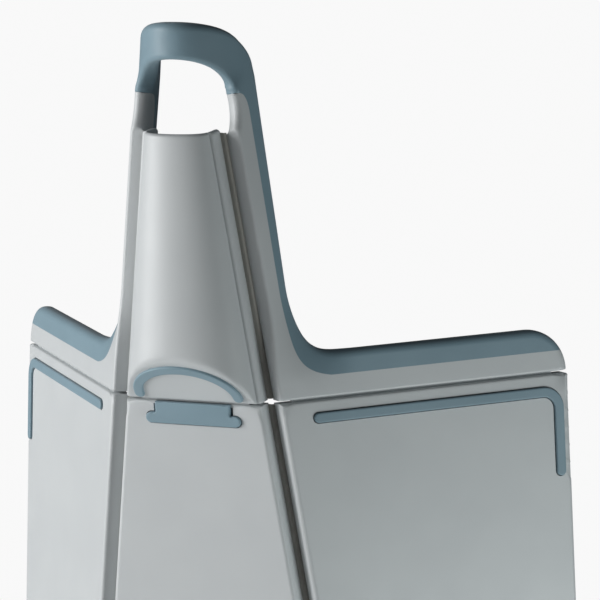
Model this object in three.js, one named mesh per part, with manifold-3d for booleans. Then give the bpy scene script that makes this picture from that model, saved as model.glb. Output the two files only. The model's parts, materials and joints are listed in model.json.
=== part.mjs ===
// Folding chopping board, standing on its front edge with the handle up.
// Three plastic panels joined by two living hinges fold into a chute when the handle is squeezed.
//
// Every piece is drawn flat, in millimetres: u across from the middle, v up from the seam between
// board and handle, d outward from the cutting face (0) to the underside. It is then folded about
// the hinge line of its side. The part's frame is +X right, +Y towards the cutting face, +Z up,
// with the origin on the surface that the board stands on.

import * as THREE from 'three';
import { mergeVertices } from 'three/addons/utils/BufferGeometryUtils.js';
import { TessellateModifier } from 'three/addons/modifiers/TessellateModifier.js';
import Module from 'manifold-3d';

const wasm = await Module();
wasm.setup();

// ---- driving dimensions (mm, degrees) ----
const gap = 0.3;
const boardWidth = 270;
const boardLength = 350;
const panelThickness = 6.3;
const cornerRadius = 22;
const seamWidth = 1;
const edgeBevel = 0.6;

const hingeHalfWidth = 26.2;       // hinge line to the middle, at the seam
const hingeTaper = 0.133;          // the hinge lines close up by this much for each mm upward
const webThickness = 0.8;
const centreRelief = 1.2;          // hinge line to the centre pieces
const sideRelief = 0.9;            // hinge line to the side pieces
const foldAngle = THREE.MathUtils.degToRad(46.7);

const wingHeight = 16;
const wingRadius = 15;
const bandWidth = 8.3;             // soft band along the top of a wing
const flangeThickness = 6.2;
const flangeTurn = THREE.MathUtils.degToRad(31.7);
const flangeStart = 6;             // the flange turns in between these two heights
const flangeEnd = 36;
const flangeBend = [14, 32];       // the wing bends up into the flange between these, from the hinge line
const flangeWidth = [12.8, 15.7];  // hinge line to the flange's outer edge, at flangeEnd and at v = 100
const bandStart = [7.35, 8.45];    // the same, to where the soft band starts
const flangeTop = 103;             // the hard flange ends here, and the soft arch begins
const sweepFoot = 46;              // the wing's edges start to sweep up into the flange here
const sweepTop = 34;

const archHeight = 127.7;
const archSpan = 22;               // half the length of the arch measured round its bend
const archFront = 1.6;             // how far the arch stands out from the underside
const archReach = 37.6;            // the same, to the flange's outer edge
const archPower = 1.75;
const archBase = 116.7;            // the arch's top edge starts to curve over here
const archSeam = 1.05;             // hinge line to the end of the arch, along the flange
const archFrontPull = 3.6;         // how strongly the bend keeps to its front and to the flange
const archEndPull = 0.3;
const holeTop = 115.6;
const holeSide = 104.5;
const holeBottom = 91.5;
const holeNotch = 3;               // the hole's sides are cut this far into the flanges

const shellTopHeight = 6;          // bulge of the handle's middle above the underside
const shellSlope = 0.1;
const shellWall = 3;
const shellLedge = 0.95;           // the bulge is this much of its base in width
const shellFloor = 5;              // solid below this, round the tongue
const facetDrop = 0.3;
const facetSlope = 0.75;

const footWidth = 3.4;
const footRise = 0.9;
const footInset = 4.4;             // middle of a foot's strip to the panel's outer edge
const footLine = 6.3;              // middle of the upper feet's strip below the seam
const footReach = 90;
const footDrop = 28;
const footBend = 5;
const frontFootLine = 14;          // the front feet mirror the upper ones about this, above the front
const frontFootStart = 12;         // hinge line to the front foot
const padWidth = 3.4;
const padReach = 18.2;             // the arc pad's half width and height, and its start up the facet
const padHeight = 13.4;
const padStart = 3.6;
const softDepth = 1.5;             // how deep the soft pieces sit in their pockets

const tabNeck = 13.8;
const tabHead = 17.5;
const tabShoulder = -4.3;
const tabBottom = -8;
const tabRound = 1.8;

const tongueThickness = 2;
const tongueHeight = 6;

// ---- materials ----
const plastic = (color) => new THREE.MeshStandardMaterial({ color, roughness: 0.45, metalness: 0 });
const soft = (color) => new THREE.MeshStandardMaterial({ color, roughness: 0.75, metalness: 0 });
const palePlastic = plastic(0xc9cdcf);
const webPlastic = plastic(0xb4b5b2);
const slateRubber = soft(0x6b8492);

// ---- places on the folded board ----
const hinge = (v) => hingeHalfWidth - hingeTaper * v;
const hingeAxis = new THREE.Vector3(-hingeTaper, 0, 1).normalize();
const hingePoint = flat(hingeHalfWidth, 0, webThickness / 2);

function flat(u, v, d) {
  return new THREE.Vector3(u, panelThickness / 2 - d, boardLength + v);
}

function turned(point, angle) {
  return point.sub(hingePoint).applyAxisAngle(hingeAxis, angle).add(hingePoint);
}

function onPanel(u, v, d) {
  return turned(flat(u, v, d), foldAngle);
}

// The wing lies in the panel's plane and turns further in where it becomes the flange.
function onHandle(u, v, d) {
  const out = u - hinge(v);
  const rise = THREE.MathUtils.smoothstep(v, flangeStart, flangeEnd);
  const fade = 1 - THREE.MathUtils.smoothstep(out, ...flangeBend);
  const thin = THREE.MathUtils.lerp(1, flangeThickness / panelThickness, rise);
  return turned(flat(u, v, d * thin), foldAngle + flangeTurn * rise * fade);
}

// The arch bridges the two flanges on a smooth bend; q runs from -archSpan to archSpan.
function onArch(q, v, d) {
  const side = q < 0 ? -1 : 1;
  const seamU = hinge(v) + archSeam;
  const inner = flangeThickness - d;
  const scale = panelThickness / flangeThickness;
  const end = onHandle(seamU, v, d * scale);
  const along = onHandle(seamU + 1, v, d * scale).sub(end).normalize();
  const front = flat(0, v, panelThickness + archFront - inner);
  const frontPull = new THREE.Vector3(archFrontPull - inner / 2, 0, 0).add(front);
  const endPull = along.multiplyScalar(inner / 2 - archEndPull).add(end);
  const curve = new THREE.CubicBezierCurve3(front, frontPull, endPull, end);
  const point = curve.getPoint(Math.abs(q) / archSpan);
  point.x *= side;
  return point;
}

// ---- geometry helpers ----
function bare(geometry) {
  const copy = geometry.clone();
  copy.deleteAttribute('normal');
  copy.deleteAttribute('uv');
  return mergeVertices(copy, 1e-4);
}

function toSolid(geometry) {
  const merged = bare(geometry);
  return new wasm.Manifold(new wasm.Mesh({
    numProp: 3,
    vertProperties: new Float32Array(merged.attributes.position.array),
    triVerts: new Uint32Array(merged.index.array),
  }));
}

function fromSolid(solid) {
  const mesh = solid.getMesh();
  const geometry = new THREE.BufferGeometry();
  geometry.setAttribute('position', new THREE.BufferAttribute(mesh.vertProperties, 3));
  geometry.setIndex(new THREE.BufferAttribute(mesh.triVerts, 1));
  return geometry;
}

function cut(geometry, ...cutters) {
  let solid = toSolid(geometry);
  for (const cutter of cutters) {
    solid = solid.subtract(toSolid(cutter));
  }
  return fromSolid(solid);
}

// The same outline with no point repeated where two of its curves meet.
function tidyOutline(shape) {
  const points = shape.getPoints(4);
  return new THREE.Shape(points.filter((point, i) => point.distanceTo(points.at(i - 1)) > 0.01));
}

// A plate from d = bottom to d = top, with its edges rounded by bevel.
function plate(shape, bottom, top, bevel = 0) {
  const geometry = new THREE.ExtrudeGeometry(tidyOutline(shape), {
    depth: top - bottom - 2 * bevel,
    bevelEnabled: bevel > 0,
    bevelThickness: bevel,
    bevelSize: bevel,
    bevelOffset: -bevel,
    bevelSegments: 1,
  });
  return bare(geometry.translate(0, 0, bottom + bevel));
}

function refine(geometry, longest) {
  return bare(new TessellateModifier(longest, 12).modify(geometry));
}

function place(geometry, where) {
  const position = geometry.attributes.position;
  for (let i = 0; i < position.count; i += 1) {
    const point = where(position.getX(i), position.getY(i), position.getZ(i));
    position.setXYZ(i, point.x, point.y, point.z);
  }
  return geometry;
}

function mirrored(geometry) {
  const copy = geometry.clone().scale(-1, 1, 1);
  const index = copy.index.array;
  for (let i = 0; i < index.length; i += 3) {
    [index[i], index[i + 1]] = [index[i + 1], index[i]];
  }
  return copy;
}

function box(u0, u1, v0, v1, d0, d1) {
  const geometry = new THREE.BoxGeometry(u1 - u0, v1 - v0, d1 - d0);
  return geometry.translate((u0 + u1) / 2, (v0 + v1) / 2, (d0 + d1) / 2);
}

// ---- tongues that join each board panel to its part of the handle ----
const tongueMiddle = panelThickness / 2 + 0.3;

function tongueBox(from, to, room) {
  const half = tongueThickness / 2 + room;
  const reach = tongueHeight / 2 + room;
  return box(from - room, to + room, -reach, reach, tongueMiddle - half, tongueMiddle + half);
}

const centreTongue = (room) => tongueBox(-20, 20, room);
const sideTongue = (room) => tongueBox(hingeHalfWidth + 6, boardWidth / 2 - 6, room);

// ---- board panels ----
function centrePanelShape() {
  const top = -seamWidth / 2;
  const shape = new THREE.Shape();
  shape.moveTo(-hinge(top) + centreRelief, top);
  shape.lineTo(-hinge(-boardLength) + centreRelief, -boardLength);
  shape.lineTo(hinge(-boardLength) - centreRelief, -boardLength);
  shape.lineTo(hinge(top) - centreRelief, top);
  return shape;
}

// The front edge is swept back a little, so that the folded board stands level.
function sidePanelShape() {
  const top = -seamWidth / 2;
  const outer = boardWidth / 2;
  const inner = hinge(-boardLength) + sideRelief;
  const sweep = hingeTaper * (1 - Math.cos(foldAngle)) / (1 + hingeTaper ** 2);
  const front = (u) => 0.1 - boardLength + sweep * (u - hinge(-boardLength));
  const shape = new THREE.Shape();
  shape.moveTo(hinge(top) + sideRelief, top);
  shape.lineTo(inner, front(inner));
  shape.lineTo(outer - cornerRadius, front(outer - cornerRadius));
  shape.quadraticCurveTo(outer, front(outer), outer, front(outer) + cornerRadius);
  shape.lineTo(outer, top - 1.2);
  shape.quadraticCurveTo(outer, top, outer - 1.2, top);
  return shape;
}

// ---- soft pieces set into the underside ----
// An L of constant width with round ends, from a point on the seam side round an outer corner.
function footShape(grow) {
  const half = footWidth / 2 + grow;
  const outer = boardWidth / 2 - footInset;
  const start = outer - footReach;
  const shape = new THREE.Shape();
  shape.moveTo(start, -footLine - half);
  shape.lineTo(outer - footBend, -footLine - half);
  shape.quadraticCurveTo(outer - half, -footLine - half, outer - half, -footLine - footBend);
  shape.lineTo(outer - half, -footLine - footDrop);
  shape.absarc(outer, -footLine - footDrop, half, Math.PI, 2 * Math.PI, false);
  shape.lineTo(outer + half, -footLine - footBend);
  shape.quadraticCurveTo(outer + half, -footLine + half, outer - footBend, -footLine + half);
  shape.lineTo(start, -footLine + half);
  shape.absarc(start, -footLine, half, Math.PI / 2, 1.5 * Math.PI, false);
  return shape;
}

function foot(room, atFront) {
  const rise = room > 0 ? 1 : footRise;
  const geometry = plate(footShape(room), panelThickness - softDepth - room, panelThickness + rise);
  if (!atFront) {
    return geometry;
  }
  // The front foot mirrors the upper one end for end and stays shorter across.
  const turnedOver = geometry.scale(1, -1, 1).translate(0, frontFootLine - boardLength, 0);
  const index = turnedOver.index.array;
  for (let i = 0; i < index.length; i += 3) {
    [index[i], index[i + 1]] = [index[i + 1], index[i]];
  }
  const start = hinge(-boardLength) + frontFootStart - room;
  return cut(turnedOver, box(0, start, -boardLength, 0, 0, 2 * panelThickness));
}

function tabShape(grow) {
  const neck = tabNeck + grow;
  const head = tabHead + grow;
  const top = -seamWidth / 2 + grow;
  const shoulder = tabShoulder + grow;
  const bottom = tabBottom - grow;
  const shape = new THREE.Shape();
  shape.moveTo(-neck, top);
  shape.lineTo(-neck, shoulder);
  shape.lineTo(-head + tabRound, shoulder);
  shape.quadraticCurveTo(-head, shoulder, -head, (shoulder + bottom) / 2);
  shape.quadraticCurveTo(-head, bottom, -head + tabRound, bottom);
  shape.lineTo(head - tabRound, bottom);
  shape.quadraticCurveTo(head, bottom, head, (shoulder + bottom) / 2);
  shape.quadraticCurveTo(head, shoulder, head - tabRound, shoulder);
  shape.lineTo(neck, shoulder);
  shape.lineTo(neck, top);
  return shape;
}

const tab = (room) => plate(tabShape(room), panelThickness - softDepth - room, panelThickness + footRise);

// ---- living hinges: thin bent strips on the cutting side of each fold ----
function web(from, to) {
  const inner = -centreRelief + gap;
  const outer = sideRelief - gap;
  const shape = new THREE.Shape();
  shape.moveTo(hinge(from) + inner, from);
  shape.lineTo(hinge(from) + outer, from);
  shape.lineTo(hinge(to) + outer, to);
  shape.lineTo(hinge(to) + inner, to);
  const strip = refine(plate(shape, 0, webThickness), 60);
  return place(strip, (u, v, d) => {
    const turn = foldAngle + flangeTurn * THREE.MathUtils.smoothstep(v, flangeStart, flangeEnd);
    return turned(flat(u, v, d), u > hinge(v) ? turn : 0);
  });
}

// ---- handle: wings and flanges ----
// The flange's outer edge, and the line where the soft band starts, as distances from the middle.
const flangeOuter = (v) => hinge(v) + THREE.MathUtils.mapLinear(v, flangeEnd, 100, ...flangeWidth);
const flangeInner = (v) => hinge(v) + THREE.MathUtils.mapLinear(v, flangeEnd, 100, ...bandStart);

function wingShape(room) {
  const bottom = seamWidth / 2;
  const bandLine = wingHeight - bandWidth - room;
  const centre = boardWidth / 2 - wingRadius;
  const lift = Math.asin((bandLine - bottom) / wingRadius);
  const shape = new THREE.Shape();
  shape.moveTo(hinge(bottom) + sideRelief, bottom);
  shape.lineTo(centre + wingRadius, bottom);
  shape.absarc(centre, bottom, wingRadius, 0, lift, false);
  shape.lineTo(sweepFoot, bandLine);
  shape.bezierCurveTo(35, bandLine + 2, 32 - room, 14, flangeInner(sweepTop) - room, sweepTop);
  shape.lineTo(flangeInner(flangeTop - 7) - room, flangeTop - 7);
  shape.quadraticCurveTo(
    flangeInner(flangeTop) - room, flangeTop - room,
    hinge(flangeTop) + 4, flangeTop - room,
  );
  shape.lineTo(hinge(flangeTop) + holeNotch, flangeTop - room);
  shape.quadraticCurveTo(hinge(98) + holeNotch + 1, 97, hinge(holeBottom) + sideRelief, holeBottom);
  return shape;
}

// The top edge of the arch, a superellipse that reaches the flanges' outer edges.
function archTop(q) {
  const share = (Math.abs(q) / archReach) ** archPower;
  return archBase + (archHeight - archBase) * (1 - share) ** (1 / archPower);
}

function bandShape() {
  const bandLine = wingHeight - bandWidth;
  const bottom = seamWidth / 2;
  const centre = boardWidth / 2 - wingRadius;
  const lift = Math.asin((bandLine - bottom) / wingRadius);
  const seam = (v) => hinge(v) + archSeam;
  const shape = new THREE.Shape();
  shape.moveTo(sweepFoot, bandLine);
  shape.lineTo(centre + wingRadius * Math.cos(lift), bandLine);
  shape.absarc(centre, bottom, wingRadius, lift, Math.PI / 2, false);
  shape.lineTo(sweepFoot + 3, wingHeight - 0.4);
  shape.bezierCurveTo(39, 15.8, 36, 21, flangeOuter(sweepTop + 4), sweepTop + 4);
  shape.lineTo(flangeOuter(archBase - 1), archBase - 1);
  for (let q = archReach - 0.7; q > archSpan + 1; q -= 2.2) {
    shape.lineTo(seam(archTop(q)) + q - archSpan, archTop(q));
  }
  shape.lineTo(seam(archTop(archSpan)) + gap, archTop(archSpan));
  shape.lineTo(seam(holeSide) + gap, holeSide);
  shape.lineTo(hinge(flangeTop) + holeNotch, flangeTop);
  shape.lineTo(hinge(flangeTop) + 4, flangeTop);
  shape.quadraticCurveTo(flangeInner(flangeTop), flangeTop, flangeInner(flangeTop - 7), flangeTop - 7);
  shape.lineTo(flangeInner(sweepTop), sweepTop);
  shape.bezierCurveTo(32, 14, 35, bandLine + 2, sweepFoot, bandLine);
  return shape;
}

function archShape() {
  const reach = archSpan - gap / 2;
  const steps = 12;
  const shape = new THREE.Shape();
  const holeRim = (q) => holeSide + (holeTop - holeSide) * Math.sqrt(1 - (q / archSpan) ** 2);
  shape.moveTo(-reach, holeRim(reach));
  for (let i = 1; i <= steps; i += 1) {
    const q = -reach * Math.cos(Math.PI * i / steps);
    shape.lineTo(q, holeRim(q));
  }
  for (let i = 0; i <= steps; i += 1) {
    const q = reach - 2 * reach * i / steps;
    shape.lineTo(q, archTop(q));
  }
  return shape;
}

// ---- handle: the hollow half cone in the middle ----
// A half cone on a straight base that starts at d = base, moved inward all round by inset.
function bulge(inset, base, from, to) {
  const section = new THREE.Shape();
  section.moveTo(-1, -1);
  section.lineTo(1, -1);
  section.lineTo(1, 0);
  section.absellipse(0, 0, shellLedge, 1, 0, Math.PI, false);
  section.lineTo(-1, 0);
  section.lineTo(-1, -1);
  const cone = new THREE.ExtrudeGeometry(section, { depth: 1, bevelEnabled: false, curveSegments: 16 });
  // The extrusion's z is the height up the handle, and its y is the distance outward.
  return place(bare(cone), (across, outward, share) => {
    const v = THREE.MathUtils.lerp(from, to, share);
    const halfWidth = hinge(v) - centreRelief - inset;
    const height = shellTopHeight + shellSlope * (holeBottom - v) - inset;
    const d = outward < 0 ? base : panelThickness + height * outward;
    return flat(-across * halfWidth, v, d);
  });
}

const facetTilt = Math.atan(facetSlope);

// Everything in front of the sloping facet at the foot of the bulge, moved inward by inset.
function facetCutter(inset) {
  const block = new THREE.BoxGeometry(80, 60, 60).translate(0, -30, 0);
  return block.rotateX(facetTilt).translate(...facetOrigin(inset).toArray());
}

function facetOrigin(inset) {
  const outward = new THREE.Vector3(0, -Math.cos(facetTilt), -Math.sin(facetTilt));
  return flat(0, 0, panelThickness + facetDrop).addScaledVector(outward, -inset);
}

// The raised arc on the facet, drawn in the facet's plane and pushed into it by softDepth.
function arcPad(room) {
  const width = padWidth / 2 + room;
  const shape = new THREE.Shape();
  const start = padStart - room;
  shape.moveTo(padReach + width, start);
  shape.absellipse(0, start, padReach + width, padHeight + width, 0, Math.PI, false);
  shape.lineTo(-padReach + width, start);
  shape.absellipse(0, start, padReach - width, padHeight - width, Math.PI, 0, true);
  const pad = new THREE.ExtrudeGeometry(shape, {
    depth: softDepth + room + footRise, bevelEnabled: false, curveSegments: 12,
  });
  pad.translate(0, 0, -softDepth - room);
  pad.rotateX(Math.PI / 2 + facetTilt);
  return pad.translate(...facetOrigin(0).toArray());
}

function centreShell() {
  const inside = bulge(shellWall, -1, shellFloor, holeBottom + 1);
  const hollow = cut(inside, facetCutter(shellWall));
  const tongueRoom = place(bare(centreTongue(gap)), flat);
  const outside = bulge(0, 0, seamWidth / 2, holeBottom);
  return cut(outside, facetCutter(0), hollow, arcPad(gap), tongueRoom);
}

// ---- assembly ----
const board = new THREE.Group();

function add(name, geometry, material) {
  const mesh = new THREE.Mesh(geometry, material);
  mesh.name = name;
  board.add(mesh);
}

function addPair(name, geometry, material) {
  add(`left_${name}`, mirrored(geometry), material);
  add(`right_${name}`, geometry, material);
}

const centrePanel = cut(
  plate(centrePanelShape(), 0, panelThickness, edgeBevel),
  centreTongue(gap),
  tab(gap),
);
add('center_panel', place(centrePanel, flat), palePlastic);
add('center_tongue', place(bare(centreTongue(0)), flat), palePlastic);
add('center_handle_shell', centreShell(), palePlastic);
add('center_lock_tab', place(tab(0), flat), slateRubber);
add('center_arc_pad', bare(arcPad(0)), slateRubber);

const sidePanel = cut(
  plate(sidePanelShape(), 0, panelThickness, edgeBevel),
  sideTongue(gap),
  foot(gap, false),
  foot(gap, true),
);
addPair('side_panel', place(sidePanel, onPanel), palePlastic);
addPair('side_tongue', place(bare(sideTongue(0)), onPanel), palePlastic);
addPair('upper_foot', place(foot(0, false), onPanel), slateRubber);
addPair('front_foot', place(foot(0, true), onPanel), slateRubber);
addPair('board_hinge_web', web(-boardLength + 1, -seamWidth), webPlastic);
addPair('handle_hinge_web', web(seamWidth, holeBottom - 1), webPlastic);

const wing = cut(plate(wingShape(gap), 0, panelThickness), sideTongue(gap));
addPair('handle_wing', place(refine(wing, 16), onHandle), palePlastic);
addPair('grip_band', place(refine(plate(bandShape(), 0, panelThickness), 15), onHandle), slateRubber);
add('grip_arch', place(refine(plate(archShape(), 0, flangeThickness), 7), onArch), slateRubber);

export default board;
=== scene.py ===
"""A folding chopping board, folded into a chute and seen from its underside.

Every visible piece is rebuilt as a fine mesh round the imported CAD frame. Pieces are drawn flat, in
millimetres: u across from the middle, v up from the seam between board and handle, d outward from
the cutting face to the underside. They are then folded about the hinge lines that the frame gives.
Each right-hand piece is mirrored for the left.
"""
import json
import math

import bmesh
import bpy
import numpy as np
from mathutils import Matrix, Vector
from mathutils.geometry import delaunay_2d_cdt


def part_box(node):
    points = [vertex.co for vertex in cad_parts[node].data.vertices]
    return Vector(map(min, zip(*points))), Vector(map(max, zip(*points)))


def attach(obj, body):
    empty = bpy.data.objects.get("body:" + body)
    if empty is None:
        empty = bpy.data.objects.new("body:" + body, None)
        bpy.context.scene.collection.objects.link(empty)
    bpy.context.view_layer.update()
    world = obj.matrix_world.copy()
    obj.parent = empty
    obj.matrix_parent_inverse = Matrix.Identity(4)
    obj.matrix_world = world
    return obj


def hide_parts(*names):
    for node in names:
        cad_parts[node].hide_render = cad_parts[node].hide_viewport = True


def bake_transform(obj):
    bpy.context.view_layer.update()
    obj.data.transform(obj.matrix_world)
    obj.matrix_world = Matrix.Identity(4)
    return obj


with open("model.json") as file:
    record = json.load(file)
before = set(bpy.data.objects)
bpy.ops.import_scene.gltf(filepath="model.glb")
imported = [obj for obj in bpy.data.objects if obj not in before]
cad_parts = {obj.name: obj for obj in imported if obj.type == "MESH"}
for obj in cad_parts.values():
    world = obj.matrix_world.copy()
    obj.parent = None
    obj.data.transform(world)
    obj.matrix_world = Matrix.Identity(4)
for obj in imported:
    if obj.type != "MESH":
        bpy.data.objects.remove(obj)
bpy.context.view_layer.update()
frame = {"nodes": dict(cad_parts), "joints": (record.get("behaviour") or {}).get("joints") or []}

MM = 0.001

# ---- the frame's own sizes, in mm ----
right_fold = next(joint for joint in frame["joints"] if joint["name"] == "right_fold")
HINGE = np.array(right_fold["pos_m"]) / MM
AXIS = np.array(right_fold["axis"]) / np.linalg.norm(right_fold["axis"])
LENGTH = HINGE[2]                              # board, from its front edge to the seam
TAPER = -AXIS[0] / AXIS[2]
FOLD = math.radians(-right_fold["range_deg"][0])
panel_low, panel_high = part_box("center_panel")
THICK = (panel_high.y - panel_low.y) / MM
_, arch_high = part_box("grip_arch")
ARCH_TOP = arch_high.z / MM - LENGTH

# ---- shapes that the CAD model shares ----
HALF_WIDTH = 135.0
CORNER = 22.0
SEAM = 0.5                                     # half of the gap between board and handle
CENTRE_RELIEF = 1.2
SIDE_RELIEF = 0.9
WEB = 0.8
WING_TOP = 16.0
WING_RADIUS = 15.0
BAND_LINE = WING_TOP - 8.3
FLANGE = 6.2
FLANGE_TURN = math.radians(31.7)
FLANGE_RISE = (6, 36)                          # heights between which the wing turns into the flange
FLANGE_BEND = (14, 32)                         # hinge line to the start and end of that turn
FLANGE_END = 103.0
ARCH_SPAN = 22.0
ARCH_SEAM = 1.05
HOLE_TOP = 115.6
HOLE_SIDE = 104.5
HOLE_BOTTOM = 91.5
HOLE_NOTCH = 3.0
FACET_DROP = 0.3
FACET_SLOPE = 0.75
FACET_REACH = 20                               # the facet no longer cuts the shell above this
SHELL_HEIGHT = 6.0                             # bulge at the top of the shell, and its growth below
SHELL_SLOPE = 0.1
SHELL_WALL = 3.0
SHELL_LEDGE = 1.3
FOOT_RISE = 0.9
GRIP_ROUND = (2.6, 2.6)                        # edge radii of the grip, above and below
HOLE_ROUND = (1.9, 4.2)                        # of the hole's edge, above and below
POCKET_FLOOR = THICK - 1.8
POCKET_GAP = 0.32

# ---- the arch's bend, which is rounder here than in the CAD model ----
ARCH_BASE = 111.7                              # the top edge starts to curve over here
ARCH_REACH = 36.8                              # from the middle to the flange's outer edge
ARCH_POWER = 2.15
ARCH_FRONT = 2.3                               # how far the arch stands out from the underside
ARCH_FRONT_PULL = 8.6                          # how strongly the bend keeps to its front and to the flange
ARCH_END_PULL = 7.8
ARCH_RADIUS = 14.0
BEND_LOW, BEND_HIGH = 99, 111                  # the flanges start to bend round between these heights
BEND_REACH = 10.4                              # hinge line to where the bend starts, above them


def smoothstep(x, low, high):
    t = np.clip((x - low) / (high - low), 0, 1)
    return t * t * (3 - 2 * t)


# ---- places on the folded board: each takes and gives an array of points ----
def hinge(v):
    return HINGE[0] - TAPER * v


def flat(points):
    return np.stack([points[:, 0], THICK / 2 - points[:, 2], LENGTH + points[:, 1]], 1)


def turned(points, angle):
    angle = np.broadcast_to(angle, len(points))[:, None]
    d = points - HINGE
    cos, sin = np.cos(angle), np.sin(angle)
    along = (d @ AXIS)[:, None] * AXIS
    return HINGE + d * cos + np.cross(AXIS, d) * sin + along * (1 - cos)


def on_panel(points):
    return turned(flat(points), FOLD)


def on_handle(points):
    u, v, d = points.T
    rise = smoothstep(v, *FLANGE_RISE)
    fade = 1 - smoothstep(u - hinge(v), *FLANGE_BEND)
    thin = 1 + (FLANGE / THICK - 1) * rise
    return turned(flat(np.stack([u, v, d * thin], 1)), FOLD + FLANGE_TURN * rise * fade)


def on_grip(points):
    """u here is the distance out from the hinge line; higher up it runs round the arch to the middle."""
    s, v, d = points.T
    share = smoothstep(v, BEND_LOW, BEND_HIGH)
    start = ARCH_SEAM + (BEND_REACH - ARCH_SEAM) * share
    side = on_handle(np.stack([hinge(v) + np.maximum(s, start), v, d], 1))
    end = on_handle(np.stack([hinge(v) + start, v, d], 1))
    along = on_handle(np.stack([hinge(v) + start + 1, v, d], 1)) - end
    along /= np.linalg.norm(along, axis=1)[:, None]
    inner = FLANGE * (1 - d / THICK)
    tightness = 1 - inner / ARCH_RADIUS
    front = flat(np.stack([0 * v, v, THICK + ARCH_FRONT - inner], 1))
    front_pull = front + np.stack([ARCH_FRONT_PULL * tightness, 0 * v, 0 * v], 1)
    end_pull = end - along * ((1 + (ARCH_END_PULL - 1) * share) * tightness)[:, None]
    t = np.clip((s - ARCH_SEAM + ARCH_SPAN) / (start - ARCH_SEAM + ARCH_SPAN), 0, 1)[:, None]
    bend = (front * (1 - t) ** 3 + 3 * front_pull * t * (1 - t) ** 2
            + 3 * end_pull * t ** 2 * (1 - t) + end * t ** 3)
    return np.where((s < start)[:, None], bend, side)


# ---- outlines ----
def line(a, b, step=1.5):
    count = max(1, round(math.dist(a, b) / step))
    return [(a[0] + (b[0] - a[0]) * i / count, a[1] + (b[1] - a[1]) * i / count) for i in range(count)]


def arc(centre, radius, start, end, step=0.8):
    count = max(2, round(abs(end - start) * radius / step))
    angles = [start + (end - start) * i / count for i in range(count)]
    return [(centre[0] + radius * math.cos(a), centre[1] + radius * math.sin(a)) for a in angles]


def curve(controls, count=16):
    """A Bezier curve of any degree through its first control point and up to, not including, its last."""
    points = []
    for i in range(count):
        row = [np.array(c, float) for c in controls]
        t = i / count
        while len(row) > 1:
            row = [p + (q - p) * t for p, q in zip(row, row[1:])]
        points.append(tuple(row[0]))
    return points


def inside(points, outline):
    """Which points lie inside a closed outline."""
    x, y = points[:, 0][:, None], points[:, 1][:, None]
    ax, ay = outline[:, 0], outline[:, 1]
    bx, by = np.roll(ax, -1), np.roll(ay, -1)
    crosses = (ay > y) != (by > y)
    with np.errstate(divide="ignore", invalid="ignore"):
        at = ax + (y - ay) * (bx - ax) / (by - ay)
    return (np.sum(crosses & (x < at), 1) % 2) == 1


def inward(outline):
    """At each outline point, the step inwards that moves both of its edges in by one."""
    ahead = np.roll(outline, -1, 0) - outline
    ahead /= np.linalg.norm(ahead, axis=1)[:, None]
    after = np.stack([-ahead[:, 1], ahead[:, 0]], 1)
    both = after + np.roll(after, 1, 0)
    return both / np.maximum(np.sum(both * both, 1) / 2, 0.6)[:, None]


def rounding(points, starts, ends, radius):
    """How far a rounded edge lowers each point, and how far off the nearest edge is."""
    drop, nearest = [], []
    run = ends - starts
    length = np.sum(run * run, 1)
    for chunk in np.array_split(points, len(points) // 1500 + 1):
        away = chunk[:, None] - starts
        t = np.clip(np.sum(away * run, 2) / length, 0, 1)
        distance = np.linalg.norm(away - t[:, :, None] * run, axis=2)
        left = radius - np.minimum(distance, radius)
        drop.append(np.max(radius - np.sqrt(radius ** 2 - left ** 2), 1))
        nearest.append(np.min(distance, 1))
    return np.concatenate(drop), np.concatenate(nearest)


def fill(rim, extra, holes=()):
    """Triangles across a flat outline with extra points inside it. Returns points and triangles."""
    points = np.concatenate([rim, *holes, extra])
    edges, first = [], 0
    for ring in (rim, *holes):
        edges += [(first + i, first + (i + 1) % len(ring)) for i in range(len(ring))]
        first += len(ring)
    result = delaunay_2d_cdt([Vector(p) for p in points], edges, [], 1, 1e-6)
    origin = [source[0] for source in result[3]]
    return points, np.array([[origin[i] for i in face] for face in result[2]])


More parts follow.
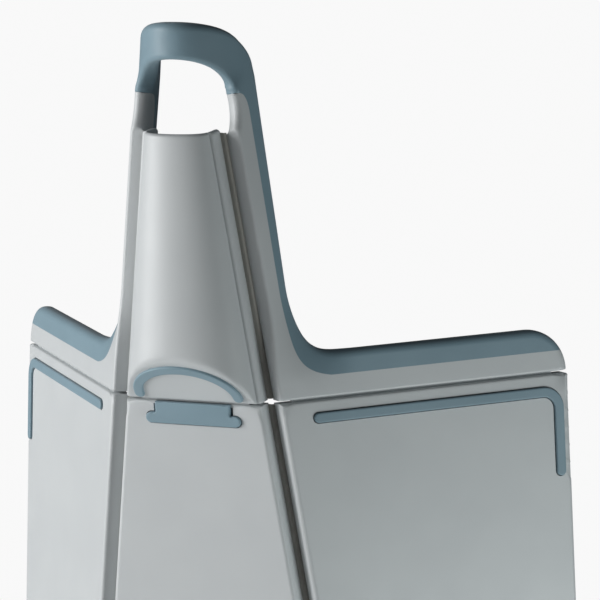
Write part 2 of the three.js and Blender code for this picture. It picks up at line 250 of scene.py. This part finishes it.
def slab(edges, low, high, spacing, pockets=(), rounds=5, beyond=()):
    """A plate with rounded edges. edges lists (points, radius above, radius below) round the outline,
    anticlockwise; beyond lists rounded edges that go on past it; pockets lists (outline, floor).
    Returns points (u, v, d) and faces."""
    outline = np.array([p for points, _, _ in edges for p in points], float)
    count = len(outline)
    steps_in = inward(outline)
    cells = np.arange(outline[:, 0].min() + spacing / 2, outline[:, 0].max(), spacing)
    rows = np.arange(outline[:, 1].min() + spacing / 2, outline[:, 1].max(), spacing)
    grid = np.stack(np.meshgrid(cells, rows), -1).reshape(-1, 2)
    points, faces, rims = [], [], []

    for which, level, sign in ((1, high, -1), (2, low, 1)):
        radius = np.array([edge[which] for edge in edges for _ in edge[0]], float)
        starts, ends, radii = outline, np.roll(outline, -1, 0), radius
        for edge in beyond:
            more = np.array(edge[0], float)
            starts, ends = np.concatenate([starts, more[:-1]]), np.concatenate([ends, more[1:]])
            radii = np.concatenate([radii, np.full(len(more) - 1, edge[which])])
        reach = np.maximum(radius, np.roll(radius, 1))[:, None]
        angles = [math.pi / 2 * k / rounds for k in range(1, rounds + 1)]
        rings = [outline + steps_in * reach * (1 - math.cos(angle)) for angle in angles]
        rings.append(outline + steps_in * (reach + 0.4))
        near = np.concatenate([ring[reach[:, 0] > 0.05] for ring in rings])
        near = near[inside(near, outline)]
        _, distance = rounding(near, starts, ends, radii)
        near = near[distance > 0.04]
        _, first_of = np.unique(np.round(near / 0.12), axis=0, return_index=True)
        near = near[np.sort(first_of)]
        _, distance = rounding(grid, starts, ends, radii)
        wide = grid[inside(grid, outline) & (distance > radius.max() + 0.4 + 0.3 * spacing)]
        extra = np.concatenate([near, wide])
        holes = [hole for hole, _ in pockets] if sign < 0 else []
        for hole in holes:
            _, distance = rounding(extra, hole, np.roll(hole, -1, 0), np.zeros(len(hole)))
            extra = extra[distance > 0.3]
        placed, triangles = fill(outline, extra, holes)
        drop, _ = rounding(placed, starts, ends, radii)
        first = len(points)
        rims.append(first)
        points.extend(np.column_stack([placed, level + sign * drop]))
        middles = placed[triangles].mean(1)
        for hole, floor in pockets if sign < 0 else ():
            sunk = inside(middles, hole)
            lowered = {}
            for i in np.unique(triangles[sunk]):
                lowered[i] = len(points) - first
                points.append([*placed[i], floor])
            start = next(i for i in range(len(placed)) if np.allclose(placed[i], hole[0]))
            for i in range(len(hole)):
                a, b = start + i, start + (i + 1) % len(hole)
                faces.append((first + a, first + b, first + lowered[b], first + lowered[a]))
            triangles[sunk] = np.vectorize(lowered.get)(triangles[sunk])
        order = (0, 1, 2) if sign < 0 else (2, 1, 0)
        faces.extend(map(tuple, (first + triangles[:, order]).tolist()))

    for i in range(count):
        j = (i + 1) % count
        faces.append((rims[0] + j, rims[0] + i, rims[1] + i, rims[1] + j))
    return np.array(points, float), faces


# ---- meshes ----
def build(name, points, faces, sharp=38):
    """A closed mesh object from points in mm, its normals facing out."""
    mesh = bpy.data.meshes.new(name)
    mesh.from_pydata((points * MM).tolist(), [], faces)
    work = bmesh.new()
    work.from_mesh(mesh)
    bmesh.ops.remove_doubles(work, verts=work.verts, dist=2e-6)
    bmesh.ops.dissolve_degenerate(work, edges=work.edges, dist=1e-6)
    bmesh.ops.recalc_face_normals(work, faces=work.faces)
    for face in work.faces:
        face.smooth = True
    work.to_mesh(mesh)
    work.free()
    mesh.set_sharp_from_angle(angle=math.radians(sharp))
    piece = bpy.data.objects.new(name, mesh)
    bpy.context.scene.collection.objects.link(piece)
    return piece


def dress(piece, material, slot, *nodes):
    piece.data.materials.append(material)
    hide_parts(*nodes)
    return piece


def pair(name, node, points, faces, material, slot, sharp=38):
    """The right-hand piece and its mirror image, each riding on its side."""
    for side, sign in (("left", -1), ("right", 1)):
        piece = build(f"{side}_{name}", points * (sign, 1, 1), faces, sharp)
        dress(piece, material, slot, f"{side}_{node}")
        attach(piece, f"{side}_side")


# ---- materials ----
def shader(name, roughness, specular=0.5):
    material = bpy.data.materials.new(name)
    material.use_nodes = True
    surface = material.node_tree.nodes["Principled BSDF"]
    surface.inputs["Roughness"].default_value = roughness
    surface.inputs["Specular IOR Level"].default_value = specular
    return material, surface


def noise(material, scale, detail=2.0):
    tree = material.node_tree
    place = tree.nodes.new("ShaderNodeTexCoord")
    texture = tree.nodes.new("ShaderNodeTexNoise")
    texture.inputs["Scale"].default_value = scale
    texture.inputs["Detail"].default_value = detail
    tree.links.new(place.outputs["Object"], texture.inputs["Vector"])
    return texture.outputs["Fac"]


def vary_colour(material, surface, dark, light, scale):
    """Soft mottling between two close colours."""
    tree = material.node_tree
    ramp = tree.nodes.new("ShaderNodeValToRGB")
    ramp.color_ramp.elements[0].position = 0.35
    ramp.color_ramp.elements[1].position = 0.65
    ramp.color_ramp.elements[0].color = (*dark, 1)
    ramp.color_ramp.elements[1].color = (*light, 1)
    tree.links.new(noise(material, scale), ramp.inputs["Fac"])
    tree.links.new(ramp.outputs["Color"], surface.inputs["Base Color"])


def vary_roughness(material, surface, low, high, scale):
    tree = material.node_tree
    spread = tree.nodes.new("ShaderNodeMapRange")
    spread.inputs["To Min"].default_value = low
    spread.inputs["To Max"].default_value = high
    tree.links.new(noise(material, scale, 3.0), spread.inputs["Value"])
    tree.links.new(spread.outputs["Result"], surface.inputs["Roughness"])


def grain(material, surface, layers):
    """Moulded grain; layers lists (scale, height in mm)."""
    tree = material.node_tree
    previous = None
    for scale, height in layers:
        bump = tree.nodes.new("ShaderNodeBump")
        bump.inputs["Strength"].default_value = 1.0
        bump.inputs["Distance"].default_value = height * MM
        tree.links.new(noise(material, scale, 1.0), bump.inputs["Height"])
        if previous:
            tree.links.new(previous.outputs["Normal"], bump.inputs["Normal"])
        previous = bump
    tree.links.new(previous.outputs["Normal"], surface.inputs["Normal"])


def pale_plastic():
    material, surface = shader("pale_plastic", 0.42, 0.45)
    vary_colour(material, surface, (0.585, 0.612, 0.622), (0.605, 0.632, 0.640), 38)
    vary_roughness(material, surface, 0.36, 0.46, 90)
    grain(material, surface, [(2600, 0.004), (900, 0.003)])
    surface.inputs["Subsurface Weight"].default_value = 0.08
    surface.inputs["Subsurface Radius"].default_value = (1.0, 1.0, 0.9)
    surface.inputs["Subsurface Scale"].default_value = 1.5 * MM
    return material


def web_plastic():
    material, surface = shader("web_plastic", 0.5, 0.4)
    vary_colour(material, surface, (0.30, 0.29, 0.265), (0.35, 0.34, 0.31), 60)
    vary_roughness(material, surface, 0.44, 0.56, 300)
    grain(material, surface, [(1500, 0.006)])
    return material


def slate_rubber():
    material, surface = shader("slate_rubber", 0.5, 0.45)
    vary_colour(material, surface, (0.205, 0.308, 0.365), (0.222, 0.330, 0.390), 45)
    vary_roughness(material, surface, 0.44, 0.54, 120)
    grain(material, surface, [(3200, 0.006), (1200, 0.004)])
    surface.inputs["Sheen Weight"].default_value = 0.15
    surface.inputs["Sheen Roughness"].default_value = 0.5
    return material


PALE = pale_plastic()
WEB_PLASTIC = web_plastic()
SLATE = slate_rubber()


# ---- soft feet and the pockets that they sit in ----
def foot_outline(grow):
    """An L of constant width with round ends: along under the seam, then down beside the outer edge."""
    half = 1.7 + grow
    row, outer, bend = -6.3, HALF_WIDTH - 4.4, 6.0
    start, end = outer - 90, row - 28
    inner_bend = max(bend - half, 0.6)
    return (line((start, row - half), (outer - bend, row - half), 4)
            + arc((outer - bend, row - bend), inner_bend, math.pi / 2, 0)
            + line((outer - half, row - bend), (outer - half, end), 4)
            + arc((outer, end), half, math.pi, 2 * math.pi, 0.5)
            + line((outer + half, end), (outer + half, row - bend), 4)
            + arc((outer - bend, row - bend), bend + half, 0, math.pi / 2)
            + line((outer - bend, row + half), (start, row + half), 4)
            + arc((start, row), half, math.pi / 2, 1.5 * math.pi, 0.5))


FRONT_FOOT_SHIFT = -LENGTH + CORNER - 8


def front_foot_outline(grow):
    """The upper foot turned end for end, and cut short before the hinge."""
    stop = hinge(-LENGTH) + 12 - grow
    points = [(u, FRONT_FOOT_SHIFT - v) for u, v in reversed(foot_outline(grow))]
    return [p for p in points if p[0] > stop]


def tab_outline(grow, neck_grow):
    neck, head = 13.8 + neck_grow, 17.5 + grow
    shoulder, bottom, top = -4.3 + grow, -8 - grow, -1.3 if grow else -SEAM
    radius = (shoulder - bottom) / 2
    middle = (shoulder + bottom) / 2
    return (line((-head + radius, bottom), (head - radius, bottom), 3)
            + arc((head - radius, middle), radius, -math.pi / 2, math.pi / 2, 0.4)
            + line((head - radius, shoulder), (neck, shoulder))
            + line((neck, shoulder), (neck, top))
            + line((neck, top), (-neck, top), 3)
            + line((-neck, top), (-neck, shoulder))
            + line((-neck, shoulder), (-head + radius, shoulder))
            + arc((-head + radius, middle), radius, math.pi / 2, 1.5 * math.pi, 0.4))


# ---- board panels ----
def centre_panel():
    top, bottom = -SEAM, -LENGTH
    inner = hinge(top) - CENTRE_RELIEF
    outer = hinge(bottom) - CENTRE_RELIEF
    edges = [
        (line((-outer, bottom), (outer, bottom), 8), 1.2, 0.8),
        (line((outer, bottom), (inner, top), 6), 1.4, 0.3),
        (line((inner, top), (-inner, top), 4), 0.7, 0.3),
        (line((-inner, top), (-outer, bottom), 6), 1.4, 0.3),
    ]
    pockets = [(np.array(tab_outline(POCKET_GAP, 0.9)), POCKET_FLOOR)]
    points, faces = slab(edges, 0, THICK, 10, pockets)
    piece = build("center_panel_shell", flat(points), faces)
    dress(piece, PALE, "pale_plastic", "center_panel")
    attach(piece, "center")


def side_panels():
    top, outer = -SEAM, HALF_WIDTH
    inner_top, inner = hinge(top) + SIDE_RELIEF, hinge(-LENGTH) + SIDE_RELIEF
    sweep = TAPER * (1 - math.cos(FOLD)) / (1 + TAPER ** 2)

    def front(u):
        return 0.1 - LENGTH + sweep * (u - hinge(-LENGTH))

    turn = outer - CORNER
    edges = [
        (line((inner_top, top), (inner, front(inner)), 6), 1.4, 0.3),
        (line((inner, front(inner)), (turn, front(turn)), 5), 1.4, 0.9),
        (curve([(turn, front(turn)), (outer, front(outer)), (outer, front(outer) + CORNER)], 24), 1.4, 0.9),
        (line((outer, front(outer) + CORNER), (outer, top - 1.2), 6), 1.4, 0.9),
        (curve([(outer, top - 1.2), (outer, top), (outer - 1.2, top)], 5), 1.0, 0.6),
        (line((outer - 1.2, top), (inner_top, top), 5), 0.7, 0.3),
    ]
    pockets = [(np.array(foot_outline(POCKET_GAP)), POCKET_FLOOR),
               (np.array(front_foot_outline(POCKET_GAP)), POCKET_FLOOR)]
    points, faces = slab(edges, 0, THICK, 10, pockets)
    pair("side_panel_shell", "side_panel", on_panel(points), faces, PALE, "pale_plastic")


def soft_pieces():
    base, top = POCKET_FLOOR + 0.05, THICK + FOOT_RISE
    points, faces = slab([(foot_outline(0), 0.35, 0.1)], base, top, 4, rounds=3)
    pair("upper_foot_strip", "upper_foot", on_panel(points), faces, SLATE, "slate_grip")
    points, faces = slab([(front_foot_outline(0), 0.35, 0.1)], base, top, 4, rounds=3)
    pair("front_foot_strip", "front_foot", on_panel(points), faces, SLATE, "slate_grip")
    points, faces = slab([(tab_outline(0, 0), 0.35, 0.1)], base, top, 4, rounds=3)
    tab = build("center_lock_tab_moulding", flat(points), faces)
    dress(tab, SLATE, "slate_grip", "center_lock_tab")
    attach(tab, "center")


# ---- handle: wings, flanges and the grip round them ----
def flange_outer(v):
    return hinge(v) + 12.8 + 2.9 * (v - 36) / 64


def flange_inner(v):
    return hinge(v) + 7.35 + 1.1 * (v - 36) / 64


def grip_line():
    """The line between hard plastic and soft grip, from the wing's tip to the hole, in (u, v)."""
    reach = math.sqrt(WING_RADIUS ** 2 - (BAND_LINE - SEAM) ** 2)
    tip = (HALF_WIDTH - WING_RADIUS + reach, BAND_LINE)
    turn = [(flange_inner(FLANGE_END - 7), FLANGE_END - 7), (flange_inner(FLANGE_END), FLANGE_END),
            (hinge(FLANGE_END) + 4.5, FLANGE_END)]
    return (line(tip, (tip[0] - 4, BAND_LINE), 0.35)
            + line((tip[0] - 4, BAND_LINE), (46, BAND_LINE), 2)
            + curve([(46, BAND_LINE), (35, BAND_LINE + 2), (32, 14), (flange_inner(34), 34)], 26)
            + line((flange_inner(34), 34), turn[0], 1.5)
            + curve(turn, 12) + [turn[2]])


def wings():
    border = grip_line()
    tip = border[0]
    centre = (HALF_WIDTH - WING_RADIUS, SEAM)
    lift = math.atan2(tip[1] - centre[1], tip[0] - centre[0])
    hole = hole_below()
    foot_of_wall = (hinge(SEAM) + SIDE_RELIEF, SEAM)
    edges = [
        (line(foot_of_wall, (HALF_WIDTH, SEAM), 2), 0.7, 0.3),
        (arc(centre, WING_RADIUS, 0, lift), *GRIP_ROUND),
        (border, 0, 0),
        (curve(hole, 12), *HOLE_ROUND),
        (line(hole[2], foot_of_wall, 1.5), 1.2, 0.3),
    ]
    whole_tip = arc(centre, WING_RADIUS, 0, math.pi / 2) + [(centre[0], WING_TOP - 0.5)]
    hole_above = [(hinge(v) + s, v) for s, v in hole_edge(-6)]
    beyond = [(whole_tip, *GRIP_ROUND), (hole_above, *HOLE_ROUND)]
    points, faces = slab(edges, 0, THICK, 1.8, beyond=beyond)
    pair("handle_wing_plate", "handle_wing", on_handle(points), faces, PALE, "pale_plastic")


def arch_top(q):
    share = (abs(q) / ARCH_REACH) ** ARCH_POWER
    return ARCH_BASE + (ARCH_TOP - ARCH_BASE) * (1 - share) ** (1 / ARCH_POWER)


def hole_edge(first):
    """The hole's edge in the soft grip as (distance out from the hinge line, v), from the top down."""
    quarter = np.linspace(0, math.pi / 2, 27)
    edge = [(ARCH_SEAM - ARCH_SPAN + ARCH_SPAN * math.sin(a),
             HOLE_SIDE + (HOLE_TOP - HOLE_SIDE) * math.cos(a)) for a in quarter[:-1]]
    edge += line((ARCH_SEAM, HOLE_SIDE), (HOLE_NOTCH, FLANGE_END), 0.8) + [(HOLE_NOTCH, FLANGE_END)]
    return edge[first:]


def hole_below():
    """Control points of the hole's edge in the hard flange, as (u, v)."""
    return [(hinge(FLANGE_END) + HOLE_NOTCH, FLANGE_END), (hinge(98) + HOLE_NOTCH + 1, 97),
            (hinge(HOLE_BOTTOM) + SIDE_RELIEF, HOLE_BOTTOM)]


def grips():
    """The soft grip of one side: wing band, flange band and half of the arch, as one moulding."""
    def out(points):
        return [(u - hinge(v), v) for u, v in points]

    border = grip_line()
    tip = border[0]
    centre = (HALF_WIDTH - WING_RADIUS, SEAM)
    lift = math.atan2(tip[1] - centre[1], tip[0] - centre[0])
    side = line((flange_outer(38), 38), (flange_outer(ARCH_BASE - 2), ARCH_BASE - 2), 1.5)
    crown = [(ARCH_SEAM - ARCH_SPAN + q, arch_top(q))
             for q in 36.7 * np.sin(math.pi / 2 * np.linspace(1, 0.02, 44))]
    middle = ARCH_SEAM - ARCH_SPAN
    edges = [
        (out(arc(centre, WING_RADIUS, lift, math.pi / 2)), *GRIP_ROUND),
        (out(line((centre[0], WING_TOP - 0.5), (49, WING_TOP - 0.4), 2)), *GRIP_ROUND),
        (out(curve([(49, WING_TOP - 0.4), (39, 15.8), (36, 21), (flange_outer(38), 38)], 26)), *GRIP_ROUND),
        (out(side), *GRIP_ROUND),
        (crown, *GRIP_ROUND),
        (line((middle, ARCH_TOP), (middle, HOLE_TOP), 0.3), 0, 0),
        (hole_edge(0)[:-1], *HOLE_ROUND),
        ([(HOLE_NOTCH, FLANGE_END)], 0, 0),
        (out(list(reversed(border))[:-1]), 0, 0),
    ]
    whole_tip = out(arc(centre, WING_RADIUS, 0, math.pi / 2) + [(centre[0], WING_TOP - 0.5)])
    beyond = [(whole_tip, *GRIP_ROUND), (out(curve(hole_below(), 12)), *HOLE_ROUND)]
    points, faces = slab(edges, 0, THICK, 1.4, rounds=7, beyond=beyond)
    placed = on_grip(points)
    for name, sign in (("left", -1), ("right", 1)):
        piece = build(f"{name}_grip_moulding", placed * (sign, 1, 1), faces, 50)
        dress(piece, SLATE, "slate_grip", f"{name}_grip_band", "grip_arch")
        smooth_middle(piece)
        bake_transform(piece)


def smooth_middle(piece):
    """Normals on the middle plane lie in it, so that the arch's two halves shade as one."""
    mesh = piece.data
    normals = np.array([n.vector for n in mesh.corner_normals])
    at = np.array([mesh.vertices[loop.vertex_index].co.x for loop in mesh.loops])
    middle = (np.abs(at) < 1e-6) & (np.abs(normals[:, 0]) < 0.6)
    normals[middle, 0] = 0
    normals /= np.linalg.norm(normals, axis=1)[:, None]
    mesh.normals_split_custom_set(normals.tolist())


# ---- handle: the hollow half cone in the middle, with its sloping facet ----
def shell_profile(v, inner, samples):
    """One section of the shell, from its right base edge over to the left one, as (u, d) pairs."""
    half = hinge(v) - CENTRE_RELIEF
    height = SHELL_HEIGHT + SHELL_SLOPE * (HOLE_BOTTOM - v)
    facet = THICK + FACET_DROP + FACET_SLOPE * v
    ledge = 0 if inner else SHELL_LEDGE
    wall = SHELL_WALL if inner else 0.0
    angles = np.linspace(0, math.pi, samples)
    u = (half - ledge - wall) * np.cos(angles)
    d = THICK + (height - wall) * np.sin(angles)
    top = facet - wall * 1.25
    blend = 0.45
    d = top - blend * np.logaddexp(0, (top - d) / blend)
    if top > THICK + FACET_REACH:
        d = THICK + (height - wall) * np.sin(angles)
    if inner:
        d = np.maximum(d, 0.4)
        base_u = [half - wall, half - wall]
        base_d = [0.0, min(THICK * 0.5, d[0] * 0.5)]
    else:
        d = np.maximum(d, THICK)
        base_u = [half - 0.3, half, half, half - 0.25, half - 0.8]
        base_d = [0.0, 0.3, THICK - 0.8, THICK - 0.25, THICK]
    u = np.concatenate([base_u, u, [-x for x in reversed(base_u)]])
    d = np.concatenate([base_d, d, list(reversed(base_d))])
    return np.column_stack([u, np.full(len(u), v), d])


def centre_shell():
    samples = 121
    outer_v = np.concatenate([[SEAM, SEAM + 0.15, SEAM + 0.5], np.linspace(1.4, HOLE_BOTTOM - 1, 120)])
    outer = [shell_profile(v, False, samples) for v in outer_v]
    outer[0] = outer[0] - (0, 0, 0.5) * (outer[0][:, 2:3] > 1)
    outer[1] = outer[1] - (0, 0, 0.18) * (outer[1][:, 2:3] > 1)
    inner_v = np.linspace(SEAM + 5.4, HOLE_BOTTOM - 1, 60)
    inner = [shell_profile(v, True, samples) for v in inner_v]
    points, faces = [], []

    def add_rows(rows):
        first = sum(len(r) for r in points)
        points.extend(rows)
        width = len(rows[0])
        for j in range(len(rows) - 1):
            for i in range(width - 1):
                a = first + j * width + i
                faces.append((a, a + 1, a + width + 1, a + width))
        return first, width

    # The inner rows get the outer rows' number of points, so that the rim joins point to point.
    wide = len(outer[0])
    share = np.linspace(0, 1, wide)
    inner = [np.column_stack([np.interp(share, np.linspace(0, 1, len(r)), r[:, k]) for k in range(3)])
             for r in inner]
    rim = []
    for angle in np.linspace(0, math.pi, 9)[1:-1]:
        mix = (1 - math.cos(angle)) / 2
        row = outer[-1] * (1 - mix) + inner[-1] * mix
        row = row + (0, 1.1 * math.sin(angle), 0)
        rim.append(row)
    first, width = add_rows(outer + rim + list(reversed(inner)))
    rows = len(outer) + len(rim) + len(inner)
    last = first + (rows - 1) * width
    bottom_outer = [first + i for i in range(width)]
    bottom_inner = [last + i for i in range(width)]
    faces.append(tuple(bottom_outer))
    faces.append(tuple(bottom_inner))
    # The two base edges are closed row by row, from the outer wall across to the inner one.
    for end in (0, width - 1):
        chain_out = [first + j * width + end for j in range(len(outer))]
        chain_rim = [first + (len(outer) + j) * width + end for j in range(len(rim))]
        chain_in = [last - j * width + end for j in range(len(inner))]
        faces.append(tuple(chain_out + chain_rim + list(reversed(chain_in))))
    faces.append((bottom_outer[0], bottom_outer[-1], bottom_inner[-1], bottom_inner[0]))
    piece = build("center_handle_shell_moulding", flat(np.concatenate(points)), faces, 50)
    dress(piece, PALE, "pale_plastic", "center_handle_shell")
    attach(piece, "center")


def on_facet(points):
    """Points drawn on the facet (u, distance up it, height above it)."""
    tilt = math.atan(FACET_SLOPE)
    up = np.array([0, -math.sin(tilt), math.cos(tilt)])
    out = np.array([0, -math.cos(tilt), -math.sin(tilt)])
    origin = flat(np.array([[0, 0, THICK + FACET_DROP]]))[0]
    return origin + points[:, :1] * (1, 0, 0) + points[:, 1:2] * up + points[:, 2:] * out


def arc_pad():
    half, ring_u, ring_v, start = 1.7, 18.2, 13.4, 3.6
    outer_u, outer_v, inner_u, inner_v = ring_u + half, ring_v + half, ring_u - half, ring_v - half
    sweep = np.linspace(0, math.pi, 60)
    outer = [(outer_u * math.cos(a), start + outer_v * math.sin(a)) for a in sweep]
    inner = [(inner_u * math.cos(a), start + inner_v * math.sin(a)) for a in reversed(sweep)]
    left_end = arc((-ring_u, start), half, math.pi, 2 * math.pi, 0.5)[1:]
    right_end = arc((ring_u, start), half, math.pi, 2 * math.pi, 0.5)[1:]
    outline = outer + left_end + inner + right_end
    points, faces = slab([(outline, 0.4, 0.1)], -0.8, FOOT_RISE, 2.5, rounds=3)
    pad = build("center_arc_pad_moulding", on_facet(points), faces)
    dress(pad, SLATE, "slate_grip", "center_arc_pad")
    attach(pad, "center")


# ---- living hinges ----
def webs():
    """Thin strips bent along each fold, set slightly into the pieces that they join."""
    for where, low, high in (("board", -LENGTH + 1, -1.0), ("handle", 1.0, HOLE_BOTTOM - 1)):
        rows = np.linspace(low, high, 60)
        across = np.linspace(-CENTRE_RELIEF - 0.1, SIDE_RELIEF + 0.1, 12)
        section = [(s, 0.0) for s in across] + [(s, WEB) for s in reversed(across)]
        grid = np.array([[(hinge(v) + s, v, d) for s, d in section] for v in rows])
        width = len(section)
        points = grid.reshape(-1, 3)
        s, v = points[:, 0] - hinge(points[:, 1]), points[:, 1]
        turn = FOLD + (FLANGE_TURN * smoothstep(v, *FLANGE_RISE) if where == "handle" else 0)
        placed = turned(flat(points), turn * smoothstep(s, -0.7, 0.7))
        faces = [(j * width + i, j * width + (i + 1) % width, (j + 1) * width + (i + 1) % width,
                  (j + 1) * width + i) for j in range(len(rows) - 1) for i in range(width)]
        faces.append(tuple(range(width)))
        faces.append(tuple(reversed(range((len(rows) - 1) * width, len(rows) * width))))
        for side, sign in (("left", -1), ("right", 1)):
            piece = build(f"{side}_{where}_hinge_strip", placed * (sign, 1, 1), faces)
            dress(piece, WEB_PLASTIC, "web_plastic", f"{side}_{where}_hinge_web")
            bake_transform(piece)


# ---- camera, stage and light ----
def camera():
    yaw, pitch, roll, distance = math.radians(23.79), math.radians(12.67), math.radians(-2.88), 0.9666
    target = Vector((0.04113, -THICK / 2 * MM, LENGTH * MM + 0.03672))
    back = Vector((math.sin(yaw) * math.cos(pitch), -math.cos(yaw) * math.cos(pitch), math.sin(pitch)))
    right = (-back).cross(Vector((0, 0, 1))).normalized()
    up = right.cross(-back)
    right_rolled = right * math.cos(roll) + up * math.sin(roll)
    up_rolled = up * math.cos(roll) - right * math.sin(roll)
    data = bpy.data.cameras.new("camera")
    data.lens = 177.4
    data.sensor_width = 36
    data.clip_end = 20
    eye = bpy.data.objects.new("camera", data)
    turn = Matrix((right_rolled, up_rolled, back)).transposed().to_4x4()
    eye.matrix_world = Matrix.Translation(target + back * distance) @ turn
    bpy.context.scene.collection.objects.link(eye)
    bpy.context.scene.camera = eye


def stage():
    """A plain pale floor. The white air of the room makes the backdrop."""
    sides = 96
    turns = [2 * math.pi * i / sides for i in range(sides)]
    mesh = bpy.data.meshes.new("floor")
    mesh.from_pydata([(0.75 * math.cos(a), 0.75 * math.sin(a), -0.002) for a in turns], [], [range(sides)])
    floor = bpy.data.objects.new("floor", mesh)
    bpy.context.scene.collection.objects.link(floor)
    material, surface = shader("floor_paper", 0.9, 0.2)
    vary_colour(material, surface, (0.80, 0.80, 0.80), (0.82, 0.82, 0.82), 3)
    mesh.materials.append(material)


def softbox(name, place, target, size, energy, colour=(1, 1, 1)):
    data = bpy.data.lights.new(name, "AREA")
    data.shape = "RECTANGLE"
    data.size, data.size_y = size
    data.energy = energy
    data.color = colour
    light = bpy.data.objects.new(name, data)
    light.location = place
    light.rotation_euler = (Vector(target) - Vector(place)).to_track_quat("-Z", "Y").to_euler()
    bpy.context.scene.collection.objects.link(light)


def lights():
    """A large key from the left, and a small low fill close by on the right."""
    bpy.context.scene.view_settings.view_transform = "Standard"
    middle = (0, 0, 0.38)
    softbox("key_left", (-1.04, -0.60, 0.60), middle, (0.6, 0.9), 13.5)
    softbox("front_left", (-0.75, -1.06, 0.70), middle, (0.6, 0.9), 1.9)
    softbox("front_low", (-0.77, -0.64, 0.20), middle, (0.4, 0.3), 1.0)
    softbox("fill_right", (0.50, -0.10, 0.12), (0, 0, 0.30), (0.25, 0.25), 1.2, (0.94, 1.0, 1.0))
    world = bpy.data.worlds.new("studio_air")
    world.use_nodes = True
    bpy.context.scene.world = world
    tree = world.node_tree
    seen = tree.nodes["Background"]
    seen.inputs["Color"].default_value = (0.945, 0.945, 0.945, 1)
    dim = tree.nodes.new("ShaderNodeBackground")
    dim.inputs["Color"].default_value = (0.95, 0.98, 1.0, 1)
    dim.inputs["Strength"].default_value = 0.05
    mix = tree.nodes.new("ShaderNodeMixShader")
    path = tree.nodes.new("ShaderNodeLightPath")
    tree.links.new(path.outputs["Is Camera Ray"], mix.inputs["Fac"])
    tree.links.new(dim.outputs["Background"], mix.inputs[1])
    tree.links.new(seen.outputs["Background"], mix.inputs[2])
    tree.links.new(mix.outputs["Shader"], tree.nodes["World Output"].inputs["Surface"])


camera()
stage()
lights()
centre_panel()
side_panels()
soft_pieces()
wings()
grips()
centre_shell()
arc_pad()
webs()
for node in ("center_tongue", "left_side_tongue", "right_side_tongue"):
    materials = frame["nodes"][node].data.materials
    materials.clear()
    materials.append(PALE)
